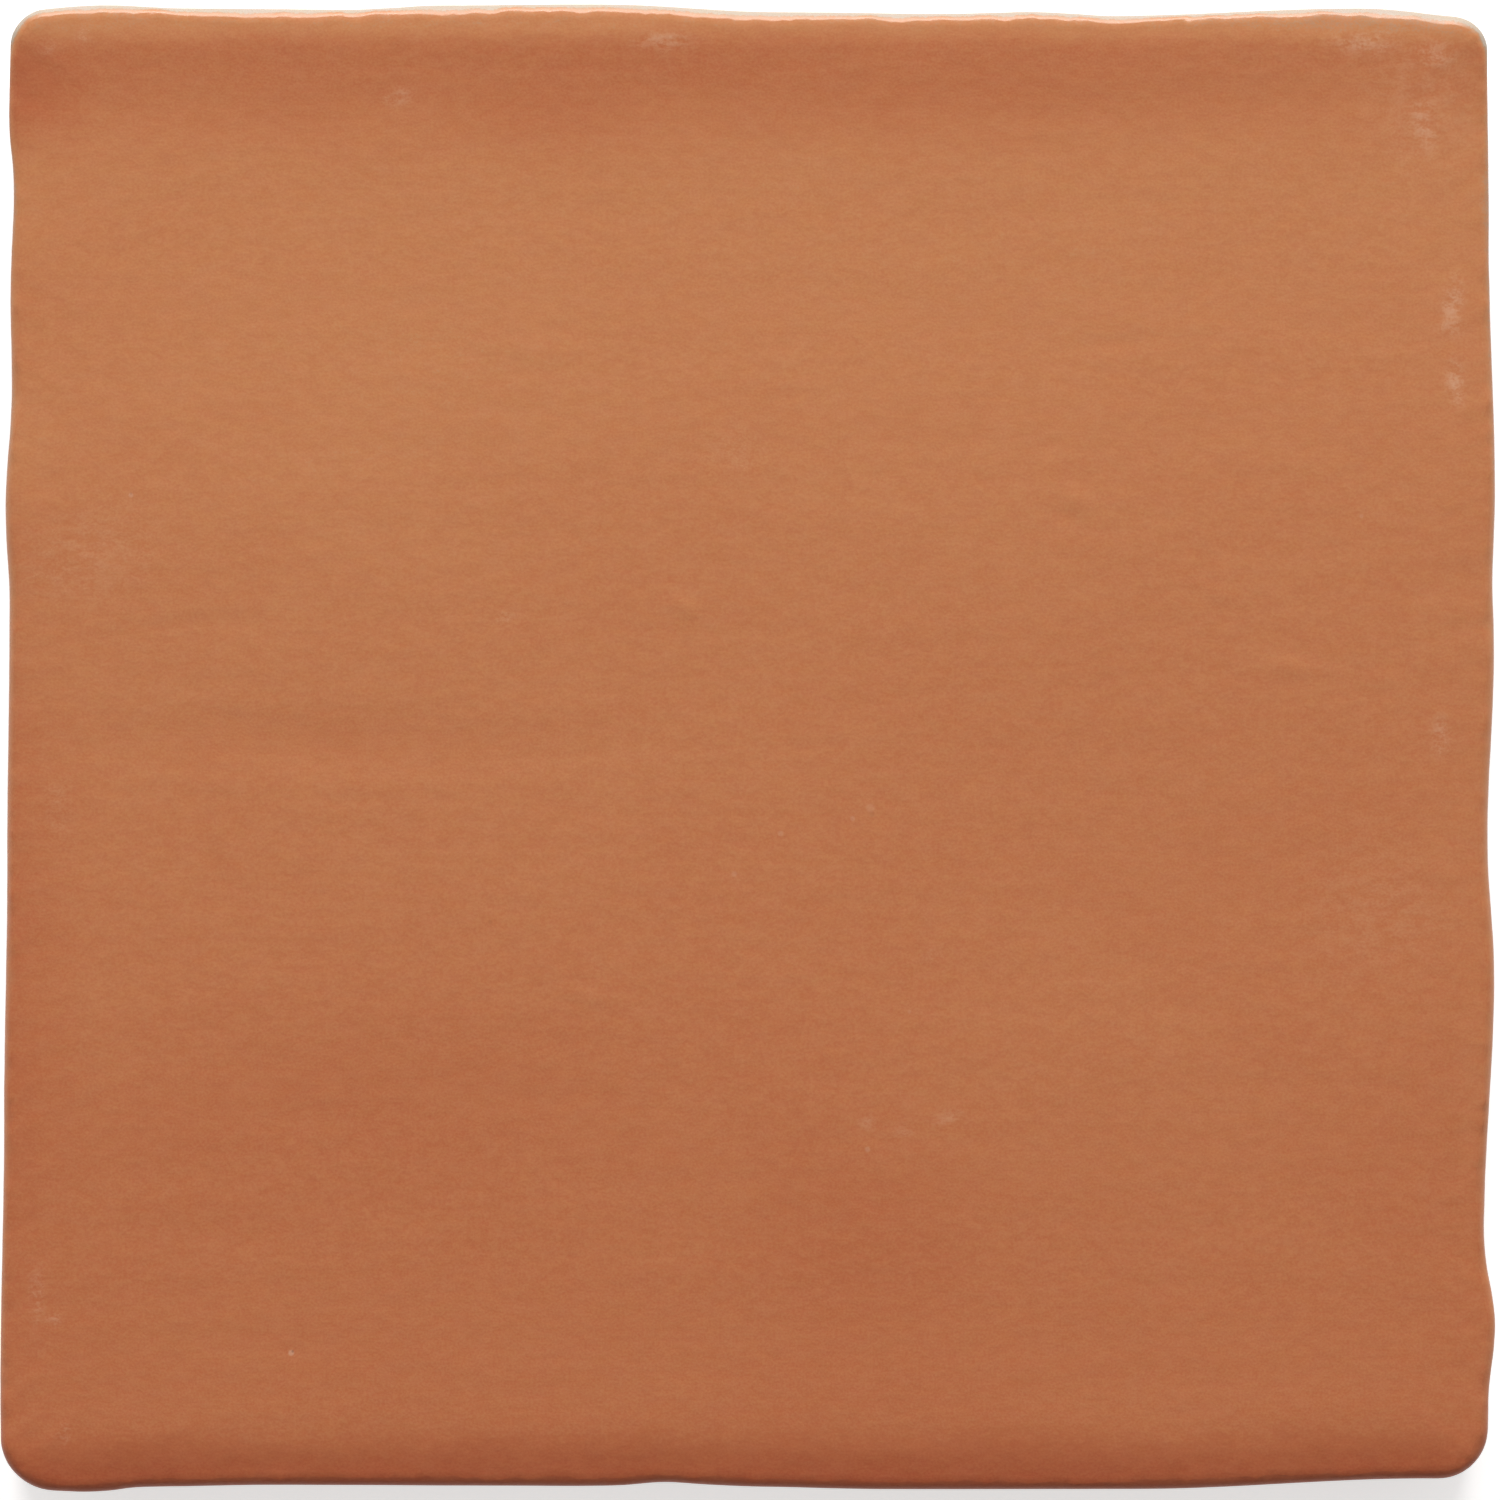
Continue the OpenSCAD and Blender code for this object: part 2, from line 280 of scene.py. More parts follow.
class Wire:
    """An output socket of a node tree. Sums and products of wires add the Math nodes they need."""

    def __init__(self, tree, socket):
        self.tree = tree
        self.socket = socket

    def __add__(self, other):
        return reckon(self.tree, "ADD", self, other)

    def __radd__(self, other):
        return reckon(self.tree, "ADD", other, self)

    def __sub__(self, other):
        return reckon(self.tree, "SUBTRACT", self, other)

    def __rsub__(self, other):
        return reckon(self.tree, "SUBTRACT", other, self)

    def __mul__(self, other):
        return reckon(self.tree, "MULTIPLY", self, other)

    def __rmul__(self, other):
        return reckon(self.tree, "MULTIPLY", other, self)

    def __truediv__(self, other):
        return reckon(self.tree, "DIVIDE", self, other)

    def __lt__(self, other):
        return reckon(self.tree, "LESS_THAN", self, other)


def feed(tree, socket, value):
    """Links a wire to a socket, or writes a plain value on it."""
    if isinstance(value, Wire):
        tree.links.new(value.socket, socket)
    else:
        socket.default_value = value


def node(tree, kind, feeds=None, **settings):
    """Adds a node with its settings, and feeds its inputs, which are given by name or number."""
    made = tree.nodes.new(kind)
    for name, value in settings.items():
        setattr(made, name, value)
    for name, value in (feeds or {}).items():
        feed(tree, made.inputs[name], value)
    return made


def out(tree, made, name=0):
    """One output of a node as a wire."""
    return Wire(tree, made.outputs[name])


def wired(tree, kind, feeds=None, result=0, **settings):
    """Adds a node and returns one of its outputs as a wire."""
    return out(tree, node(tree, kind, feeds, **settings), result)


def reckon(tree, operation, *values):
    """Arithmetic on numbers."""
    return wired(tree, "ShaderNodeMath", dict(enumerate(values)), operation=operation)


def vector_sum(tree, operation, *values, result="Vector"):
    """Arithmetic on vectors."""
    return wired(tree, "ShaderNodeVectorMath", dict(enumerate(values)), result, operation=operation)


def scaled(tree, vector, factor):
    return wired(
        tree, "ShaderNodeVectorMath", {0: vector, "Scale": factor}, "Vector", operation="SCALE")


def split(tree, vector):
    made = node(tree, "ShaderNodeSeparateXYZ", {0: vector})
    return [out(tree, made, axis) for axis in "XYZ"]


def join(tree, x=0.0, y=0.0, z=0.0):
    return wired(tree, "ShaderNodeCombineXYZ", {"X": x, "Y": y, "Z": z})


def spread(tree, value, low, high, to_low=0.0, to_high=1.0, smooth=True):
    """Carries a value from one range to another, clamped at both ends."""
    return wired(
        tree, "ShaderNodeMapRange",
        {"Value": value, "From Min": low, "From Max": high, "To Min": to_low, "To Max": to_high},
        "Result", interpolation_type="SMOOTHSTEP" if smooth else "LINEAR")


def fading(tree, distance, start, end, amount):
    """An amount that holds up to the start and falls to 0 at the end."""
    return spread(tree, distance, start, end, amount, 0.0)


def noise(tree, place, size, detail=2.0, roughness=0.5, seed=0.0):
    """Soft noise around 0, from about -1 to 1, whose swells measure about the given size."""
    value = wired(
        tree, "ShaderNodeTexNoise",
        {"Vector": place, "W": seed, "Scale": 1 / size, "Detail": detail, "Roughness": roughness},
        noise_dimensions="4D")
    return (value - 0.5) * 4.0


def total(wires):
    """The sum of several wires."""
    whole = wires[0]
    for wire in wires[1:]:
        whole = whole + wire
    return whole


def most(tree, masks):
    """The strongest of several masks."""
    strongest = masks[0]
    for mask in masks[1:]:
        strongest = reckon(tree, "MAXIMUM", strongest, mask)
    return strongest


def new_group(name, kind, inputs, outputs):
    """A node tree with named sockets. Inputs are (name, socket kind, default or None)."""
    tree = bpy.data.node_groups.new(name, kind)
    for label, socket_kind, default in inputs:
        socket = tree.interface.new_socket(label, in_out="INPUT", socket_type=socket_kind)
        if default is not None:
            socket.default_value = default
    for label, socket_kind in outputs:
        tree.interface.new_socket(label, in_out="OUTPUT", socket_type=socket_kind)
    return tree


def group_inputs(tree):
    """The group's own inputs as wires, by name."""
    entry = tree.nodes.new("NodeGroupInput")
    return {socket.name: Wire(tree, socket) for socket in entry.outputs if socket.name}


def group_output(tree, name, value):
    feed(tree, tree.nodes.new("NodeGroupOutput").inputs[name], value)


# ---------------------------------------------------------------- geometry nodes

def position(tree):
    return wired(tree, "GeometryNodeInputPosition")


def stored(tree, geometry, name, value):
    """The geometry with a value kept on its points under a name."""
    return wired(
        tree, "GeometryNodeStoreNamedAttribute",
        {"Geometry": geometry, "Name": name, "Value": value}, data_type="FLOAT", domain="POINT")


def recalled(tree, name):
    """A value that was kept on the points under a name."""
    return wired(tree, "GeometryNodeInputNamedAttribute", {"Name": name}, data_type="FLOAT")


def ray(tree, target, source, direction):
    """The node that finds where a ray meets its target."""
    return node(tree, "GeometryNodeRaycast", {
        "Target Geometry": target, "Source Position": source, "Ray Direction": direction,
        "Ray Length": RAY_LENGTH})


def merged(tree, *parts):
    """Several geometries as one."""
    made = tree.nodes.new("GeometryNodeJoinGeometry")
    for part in parts:
        tree.links.new(part.socket, made.inputs[0])
    return out(tree, made)


def repeated(tree, points, part):
    """A copy of the part on each point."""
    copies = wired(tree, "GeometryNodeInstanceOnPoints", {"Points": points, "Instance": part})
    return wired(tree, "GeometryNodeRealizeInstances", {"Geometry": copies})


def oval(tree, place, centre, half_across, half_along, lean):
    """A smooth oval swell on the face, 1 at its centre and 0 at its edge."""
    x, y, _ = split(tree, place)
    turn = math.radians(lean)
    right = x - centre[0] * MM
    far = y - centre[1] * MM
    across = (right * math.cos(turn) + far * math.sin(turn)) * (1 / (half_across * MM))
    along = (far * math.cos(turn) - right * math.sin(turn)) * (1 / (half_along * MM))
    return fading(tree, reckon(tree, "SQRT", across * across + along * along), 0.0, 1.0, 1.0)


def ovals(tree, place, spots):
    """An oval swell for each spot of a list, as strong as the spot's last value."""
    return [
        oval(tree, place, centre, half_across, half_along, lean) * amount
        for centre, half_across, half_along, lean, amount in spots]


# ---------------------------------------------------------------- the tile's skin

def body_copy():
    """A merged copy of the CAD body, on which the skin is drawn."""
    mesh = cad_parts[NODE].data.copy()
    shape = bmesh.new()
    shape.from_mesh(mesh)
    bmesh.ops.remove_doubles(shape, verts=shape.verts, dist=BODY_WELD)
    bmesh.ops.recalc_face_normals(shape, faces=shape.faces)
    shape.to_mesh(mesh)
    shape.free()
    mesh.materials.clear()
    made = bpy.data.objects.new("body_copy", mesh)
    bpy.context.scene.collection.objects.link(made)
    return made


def outline_height(body):
    """Height of the body's widest ring, which is its outline from above."""
    return max(body.data.vertices, key=lambda corner: corner.co.x).co.z


def outline_wall(tree, body, rim_height):
    """A thin upright wall on a smooth line through the body's widest ring, for rays to meet."""
    edge = node(tree, "GeometryNodeInputMeshEdgeVertices")
    off_height = total([
        reckon(tree, "ABSOLUTE", split(tree, out(tree, edge, end))[2] - rim_height)
        for end in ("Position 1", "Position 2")])
    ring = wired(
        tree, "GeometryNodeMeshToCurve", {"Mesh": body, "Selection": off_height < RING_TOLERANCE})
    line = wired(tree, "GeometryNodeCurveSplineType", {"Curve": ring}, spline_type="CATMULL_ROM")
    line = wired(tree, "GeometryNodeResampleCurve", {"Curve": line, "Count": WALL_POINTS})
    thread = wired(tree, "GeometryNodeCurveToMesh", {"Curve": line})
    foot = wired(
        tree, "GeometryNodeTransform", {"Geometry": thread, "Translation": (0, 0, -WALL_REACH)})
    return wired(
        tree, "GeometryNodeExtrudeMesh",
        {"Mesh": foot, "Offset": join(tree, z=2 * WALL_REACH), "Offset Scale": 1.0}, "Mesh",
        mode="EDGES")


def outline_towards(tree, given, u, v):
    """Where the ray from the middle through a grid point meets the outline, and the way out."""
    rim_height = given["Rim height"]
    away = vector_sum(tree, "NORMALIZE", join(tree, u * HALF_WIDTH, v * HALF_LENGTH))
    wall = outline_wall(tree, given["Body"], rim_height)
    met = ray(tree, wall, join(tree, z=rim_height), away)
    rim = vector_sum(tree, "MULTIPLY", out(tree, met, "Hit Position"), (1, 1, 0))
    facing = vector_sum(tree, "DOT_PRODUCT", out(tree, met, "Hit Normal"), away, result="Value")
    return rim, scaled(tree, out(tree, met, "Hit Normal"), reckon(tree, "SIGN", facing))


def smoothed_top(tree, body, place, off_diagonal):
    """The height of the skin's face at each place: the body's own, smoothed over the grid."""
    above = vector_sum(tree, "ADD", place, join(tree, z=tile_high.z + RAY_CLEARANCE))
    over = ray(tree, body, above, (0, 0, -1))
    # Points on the grid's diagonals have no neighbour further in, so smoothing would cut a groove
    evenly = spread(tree, off_diagonal, 0.0, DIAGONAL_CELLS)
    height = split(tree, out(tree, over, "Hit Position"))[2]
    smooth = wired(
        tree, "GeometryNodeBlurAttribute",
        {"Value": height, "Iterations": BLUR_STEPS, "Weight": evenly}, data_type="FLOAT")
    return smooth - SKIN_ALLOWANCE


def folded_sheet(tree, given):
    """A square grid folded over the body as face, arris, side and chamfer, without relief."""
    # The flat grid runs from -1 to 1, and its rings are counted from its rim
    sheet = wired(tree, "GeometryNodeMeshGrid", {
        "Size X": 2.0, "Size Y": 2.0, "Vertices X": CELLS + 1, "Vertices Y": CELLS + 1})
    u, v, _ = split(tree, position(tree))
    u_size = reckon(tree, "ABSOLUTE", u)
    v_size = reckon(tree, "ABSOLUTE", v)
    ring = (1.0 - reckon(tree, "MAXIMUM", u_size, v_size)) * MIDDLE_RING

    # Chamfer, side, arris and face each go from 0 to 1 as the rings pass them
    chamfer = spread(tree, ring, 0, CHAMFER_RINGS, smooth=False)
    side = spread(tree, ring, CHAMFER_RINGS, FIRST_ARRIS_RING, smooth=False)
    arris = spread(tree, ring, FIRST_ARRIS_RING, FIRST_FACE_RING, smooth=False)
    face = spread(tree, ring, FIRST_FACE_RING, MIDDLE_RING, smooth=False)
    for name, share in (("chamfer", chamfer), ("side", side), ("arris", arris), ("face", face)):
        sheet = stored(tree, sheet, name, share)

    # Seen from above, the section steps in from the outline. The arris is wider here and tighter
    # there.
    rim, outward = outline_towards(tree, given, u, v)
    uneven = noise(tree, rim, UNEVEN_SIZE, detail=3.0, roughness=0.7, seed=3.0)
    width_share = MEAN_ARRIS + given["Arris unevenness"] * uneven
    arris_width = ARRIS_WIDTH * reckon(tree, "MAXIMUM", width_share, LEAST_ARRIS)
    chamfer_in = SIDE_DRAFT + BACK_CHAMFER * (1.0 - reckon(tree, "SINE", chamfer * QUARTER_TURN))
    side_in = chamfer_in - SIDE_DRAFT * side
    arris_in = side_in + arris_width * (1.0 - reckon(tree, "COSINE", arris * QUARTER_TURN))
    inward = scaled(tree, outward, (arris_in + SKIN_ALLOWANCE) * -1.0)
    plan = scaled(tree, vector_sum(tree, "ADD", rim, inward), 1.0 - face)

    # The height of the face is read where the face begins for the arris and the side too
    clear_in = reckon(tree, "MAXIMUM", arris_width, ARRIS_WIDTH) + 2 * SKIN_ALLOWANCE
    face_start = vector_sum(tree, "ADD", rim, scaled(tree, outward, clear_in * -1.0))
    face_place = scaled(tree, face_start, 1.0 - face)
    off_diagonal = reckon(tree, "ABSOLUTE", u_size - v_size) * MIDDLE_RING
    face_height = smoothed_top(tree, given["Body"], face_place, off_diagonal)

    # Seen from the side, it rises from the floor between the ribs
    rim_height = given["Rim height"]
    chamfer_rise = BACK_CHAMFER * (1.0 - reckon(tree, "COSINE", chamfer * QUARTER_TURN))
    side_rise = (rim_height - RIB_HEIGHT - BACK_CHAMFER) * side
    arris_rise = (face_height - rim_height) * reckon(tree, "SINE", arris * QUARTER_TURN)
    height = RIB_HEIGHT + chamfer_rise + side_rise + arris_rise
    return wired(tree, "GeometryNodeSetPosition", {
        "Geometry": sheet, "Position": vector_sum(tree, "ADD", plan, join(tree, z=height))})


def glazed_shell(tree, given, sheet):
    """The sheet with the glaze's relief. It keeps how thin and how rubbed the glaze is, the thinness
    with painted shade and highlight added in.
    """
    place = position(tree)
    pulled = vector_sum(tree, "MULTIPLY", place, GLAZE_PULL)
    peel = noise(tree, pulled, PEEL_SIZE, detail=2.0, roughness=0.55, seed=1.0)
    swells = noise(tree, pulled, SWELL_SIZE, detail=1.0, seed=2.0)
    ripples = noise(tree, place, RIPPLE_SIZE, detail=1.0, seed=4.0)
    drawn_out = vector_sum(tree, "MULTIPLY", place, WRINKLE_PULL)
    wrinkles = noise(tree, drawn_out, WRINKLE_SIZE, detail=2.0, roughness=0.55, seed=8.0)
    past_arris = recalled(tree, "arris")
    at_rim = fading(tree, recalled(tree, "face"), 0.0, RIPPLE_REACH / HALF_WIDTH, 1.0)
    from_far = HALF_LENGTH - split(tree, place)[1]
    roll = total([fading(tree, from_far, *swell) for swell in FAR_ROLL])
    flaws = total(ovals(tree, place, FLAWS))

    relief = given["Orange peel"] * peel + given["Swells"] * swells + given["Wrinkles"] * wrinkles
    relief = relief + given["Rim ripples"] * ripples * at_rim * past_arris
    relief = relief + given["Far roll"] * roll * past_arris
    relief = relief + flaws * MM
    normal = wired(tree, "GeometryNodeInputNormal")
    shell = wired(tree, "GeometryNodeSetPosition", {
        "Geometry": sheet, "Offset": scaled(tree, normal, relief * recalled(tree, "chamfer"))})

    thinness_and_painted_light = glaze_thinness_and_painted_light(tree, pulled, place) + flaws * FLAW_SHARE
    shell = stored(tree, shell, "thinness_and_painted_light", thinness_and_painted_light)
    return stored(tree, shell, "rubbed", most(tree, ovals(tree, place, SCUFFS)))


def glaze_thinness_and_painted_light(tree, pulled, place):
    """How thin the glaze lies, from 0 where it pools to 1 where it hardly covers the clay, with painted
    shade and painted highlight added along the sides and towards the far side.
    """
    x, y, _ = split(tree, place)
    broad = noise(tree, pulled, BROAD_SIZE, detail=1.0, seed=5.0)
    patch_place = vector_sum(tree, "MULTIPLY", place, PATCH_PULL)
    patchy = noise(tree, patch_place, PATCH_SIZE, detail=2.0, roughness=0.55, seed=6.0)
    # Paler towards the far side, where the window is: partly thinner glaze and partly painted light
    thinness_and_painted_light = THINNESS + y * (THINNESS_AND_LIGHT_SLOPE / HALF_LENGTH)
    thinness_and_painted_light = thinness_and_painted_light + broad * BROAD_SHARE + patchy * PATCH_SHARE
    thinness_and_painted_light = total([thinness_and_painted_light] + ovals(tree, place, POOLS))

    # It ran down and pooled at the near side, and it drew back from the far side into a thick band.
    # Both bands are also painted shade: the near side faces away from the window, and the far band
    # darkens the slope inside the far roll.
    ragged = patchy * RAGGEDNESS
    from_near = HALF_LENGTH + y + ragged
    from_far = HALF_LENGTH - y + ragged
    from_left = HALF_WIDTH + x + ragged
    far_pool_and_shade_depth = spread(tree, x, *FAR_POOL_AND_SHADE_DEPTH)
    thinness_and_painted_light = thinness_and_painted_light + fading(tree, from_near, *NEAR_POOL_AND_SHADE)
    thinness_and_painted_light = thinness_and_painted_light + far_pool_and_shade_depth * fading(tree, from_far, *FAR_POOL_AND_SHADE)
    thinness_and_painted_light = thinness_and_painted_light + fading(tree, from_left, *LEFT_POOL)

    # It is thinnest on the arris, and most of all on the far one, which faces the window: the pale
    # arris is partly a painted highlight.
    upper = spread(tree, recalled(tree, "side") + patchy * ARRIS_RAG, *ARRIS_START)
    on_arris = upper * fading(tree, recalled(tree, "arris"), *ARRIS_TURN, 1.0)
    thinned_and_highlit = fading(tree, from_far, *FAR_ARRIS_AND_HIGHLIGHT) + spread(tree, from_near, *SIDE_ARRIS_AND_HIGHLIGHT)
    return thinness_and_painted_light + upper * fading(tree, from_far, *FAR_LINE_AND_HIGHLIGHT) + on_arris * thinned_and_highlit


def ribbed_back(tree, shell):
    """The flat back with its ribs. Its outer edge is the shell's own."""
    # The shell's open rim is the line of its edges that have one face
    lone = wired(tree, "GeometryNodeInputMeshEdgeNeighbors") < 1.5
    rim = wired(tree, "GeometryNodeMeshToCurve", {"Mesh": shell, "Selection": lone})

    bare = SIDE_DRAFT + BACK_CHAMFER + RIB_MARGIN
    length = 2 * HALF_LENGTH - 2 * bare
    width = RIB_WIDTH + 2 * RIB_DRAFT
    pitch = (2 * HALF_WIDTH - 2 * bare - RIB_WIDTH) / (RIB_COUNT - 1)
    foot = wired(
        tree, "GeometryNodeCurvePrimitiveQuadrilateral", {"Width": width, "Height": length})
    foot = wired(
        tree, "GeometryNodeFilletCurve",
        {"Curve": foot, "Count": RIB_CORNER_POINTS, "Radius": RIB_CORNER}, mode="POLY")
    places = wired(tree, "GeometryNodeMeshLine", {
        "Count": RIB_COUNT, "Start Location": (-pitch * (RIB_COUNT - 1) / 2, 0, RIB_HEIGHT),
        "Offset": (pitch, 0, 0)})

    # The floor between the ribs is filled from the rim to the feet of the ribs
    lines = merged(tree, rim, repeated(tree, places, foot))
    flat = wired(tree, "GeometryNodeFillCurve", {"Curve": lines}, mode="TRIANGLES")
    floor = wired(
        tree, "GeometryNodeTransform", {"Geometry": flat, "Translation": (0, 0, RIB_HEIGHT)})

    rib = wired(tree, "GeometryNodeFillCurve", {"Curve": foot}, mode="NGONS")
    chosen = {}
    for rise, draft_share in RIB_STEPS:
        raised = node(tree, "GeometryNodeExtrudeMesh", {
            "Mesh": rib, "Offset": join(tree, z=-RIB_HEIGHT * rise), "Offset Scale": 1.0,
            "Individual": False, **chosen}, mode="FACES")
        top = out(tree, raised, "Top")
        chosen = {"Selection": top}
        narrowing = RIB_DRAFT * draft_share
        narrower = (1 - 2 * narrowing / width, 1 - 2 * narrowing / length, 1)
        rib = wired(tree, "GeometryNodeSetPosition", {
            "Geometry": out(tree, raised), "Selection": top,
            "Position": vector_sum(tree, "MULTIPLY", position(tree), narrower)})
    both = merged(tree, floor, repeated(tree, places, rib))
    return wired(tree, "GeometryNodeFlipFaces", {"Mesh": both})


def build_skin_tree():
    """The tile's skin as a tree: a grid folded over the body, closed by a ribbed back."""
    tree = new_group("tile_skin", "GeometryNodeTree", [
        ("Body", "NodeSocketGeometry", None),
        ("Rim height", "NodeSocketFloat", 0.0),
        ("Arris unevenness", "NodeSocketFloat", 0.0),
        ("Rim ripples", "NodeSocketFloat", 0.0),
        ("Wrinkles", "NodeSocketFloat", 0.0),
        ("Orange peel", "NodeSocketFloat", 0.0),
        ("Swells", "NodeSocketFloat", 0.0),
        ("Far roll", "NodeSocketFloat", 0.0),
        ("Material", "NodeSocketMaterial", None),
    ], [("Skin", "NodeSocketGeometry")])
    given = group_inputs(tree)
    shell = glazed_shell(tree, given, folded_sheet(tree, given))
    whole = merged(tree, ribbed_back(tree, shell), shell)
    welded = wired(
        tree, "GeometryNodeMergeByDistance", {"Geometry": whole, "Distance": SKIN_WELD})
    shaded = wired(tree, "GeometryNodeSetShadeSmooth", {"Geometry": welded})

    # The floor between the ribs and the ribs' own lands are flat
    down = split(tree, wired(tree, "GeometryNodeInputNormal"))[2] < FACING_DOWN
    low = split(tree, position(tree))[2] < RIB_HEIGHT + BACK_TOLERANCE
    flat_back = wired(tree, "GeometryNodeSetShadeSmooth", {
        "Geometry": shaded, "Selection": down * low, "Shade Smooth": False})

    real = wired(tree, "GeometryNodeRealizeInstances", {"Geometry": flat_back})
    coated = wired(
        tree, "GeometryNodeSetMaterial", {"Geometry": real, "Material": given["Material"]})
    group_output(tree, "Skin", coated)
    return tree


def make_skin(material):
    """Draws the skin over the body's copy and returns it as a plain mesh, with its rim's height."""
    body = body_copy()
    rim_height = outline_height(body)
    tree = build_skin_tree()
    modifier = body.modifiers.new("skin", "NODES")
    modifier.node_group = tree
    sizes = {"Rim height": rim_height, "Material": material, **RELIEF}
    for item in tree.interface.items_tree:
        if item.item_type == "SOCKET" and item.in_out == "INPUT" and item.name in sizes:
            modifier[item.identifier] = sizes[item.name]
    evaluated = body.evaluated_get(bpy.context.evaluated_depsgraph_get())
    mesh = bpy.data.meshes.new_from_object(evaluated)
    bpy.data.objects.remove(body)
    made = bpy.data.objects.new("glazed_tile", mesh)
    bpy.context.scene.collection.objects.link(made)
    return made, rim_height


# ---------------------------------------------------------------- finishes

def blend(tree, share, first, second):
    """A colour from the first to the second as the share goes from 0 to 1."""
    return wired(
        tree, "ShaderNodeMix", {"Factor": share, 6: first, 7: second}, 2,
        data_type="RGBA", blend_type="MIX")


def use_group(tree, group, feeds):
    """The first output of a shared group, fed by name."""
    made = tree.nodes.new("ShaderNodeGroup")
    made.node_tree = group
    for name, value in feeds.items():
        feed(tree, made.inputs[name], value)
    return out(tree, made)


def build_mottle():
    """Soft uneven patches as a value from -1 to 1. The seed moves the pattern."""
    tree = new_group("mottle", "ShaderNodeTree", [
        ("Place", "NodeSocketVector", None), ("Size", "NodeSocketFloat", MM),
        ("Stretch", "NodeSocketFloat", 1.0), ("Detail", "NodeSocketFloat", 2.0),
        ("Roughness", "NodeSocketFloat", 0.5), ("Seed", "NodeSocketVector", None),
    ], [("Value", "NodeSocketFloat")])
    given = group_inputs(tree)
    wide = vector_sum(tree, "DIVIDE", given["Place"], join(tree, given["Stretch"], 1.0, 1.0))
    value = wired(tree, "ShaderNodeTexNoise", {
        "Vector": vector_sum(tree, "ADD", wide, given["Seed"]),
        "Scale": reckon(tree, "DIVIDE", 1.0, given["Size"]),
        "Detail": given["Detail"], "Roughness": given["Roughness"]})
    # The texture's values lie mostly between 0.2 and 0.8
    group_output(tree, "Value", spread(tree, value, 0.2, 0.8, -1.0, 1.0))
    return tree


def build_speck():
    """A small round speck, as a mask from 0 to 1."""
    tree = new_group("speck", "ShaderNodeTree", [
        ("Place", "NodeSocketVector", None), ("Centre", "NodeSocketVector", None),
        ("Radius", "NodeSocketFloat", MM),
    ], [("Mask", "NodeSocketFloat")])
    given = group_inputs(tree)
    apart = vector_sum(tree, "DISTANCE", given["Place"], given["Centre"], result="Value")
    group_output(tree, "Mask", fading(tree, apart / given["Radius"], SPECK_CORE, 1.0, 1.0))
    return tree


def patches(tree, mottle, place, size, stretch, detail, roughness, seed):
    """Uneven patches of about the given size, from -1 to 1."""
    return use_group(tree, mottle, {
        "Place": place, "Size": size, "Stretch": stretch, "Detail": detail,
        "Roughness": roughness, "Seed": (seed, 0.4 * seed, 0.0)})


def dotted(tree, speck, place, specks):
    """A mask of every speck of a list, each as plain as its last value."""
    return most(tree, [
        use_group(tree, speck, {
            "Place": place, "Centre": (across * MM, along * MM, 0.0),
            "Radius": radius * MM}) * plainness
        for (across, along), radius, plainness in specks])


def fired_colour(tree, mottle, place, thinness_and_painted_light):
    """The glaze's colour: redder where it lies thick, yellower and then paler where it is thin. Its
    scale of thinness also carries painted shade and highlight.
    """
    ramp = node(tree, "ShaderNodeValToRGB", {"Fac": thinness_and_painted_light})
    stops = ramp.color_ramp.elements
    stops[0].position, stops[0].color = 0.0, GLAZE_POOLED
    stops[1].position, stops[1].color = 1.0, GLAZE_BREAK_AND_HIGHLIGHT
    for stop, shade in GLAZE_STOPS:
        stops.new(stop).color = shade
    # It wavers a little besides
    warm = patches(
        tree, mottle, place, WARM_SIZE, stretch=1.6, detail=3.0, roughness=0.7, seed=11.0)
    cool = patches(
        tree, mottle, place, COOL_SIZE, stretch=1.6, detail=3.0, roughness=0.7, seed=13.0)
    waver = join(tree, 1.0 + warm * WARM_TINT, 1.0, 1.0 + cool * COOL_TINT)
    return vector_sum(tree, "MULTIPLY", out(tree, ramp, "Color"), waver)


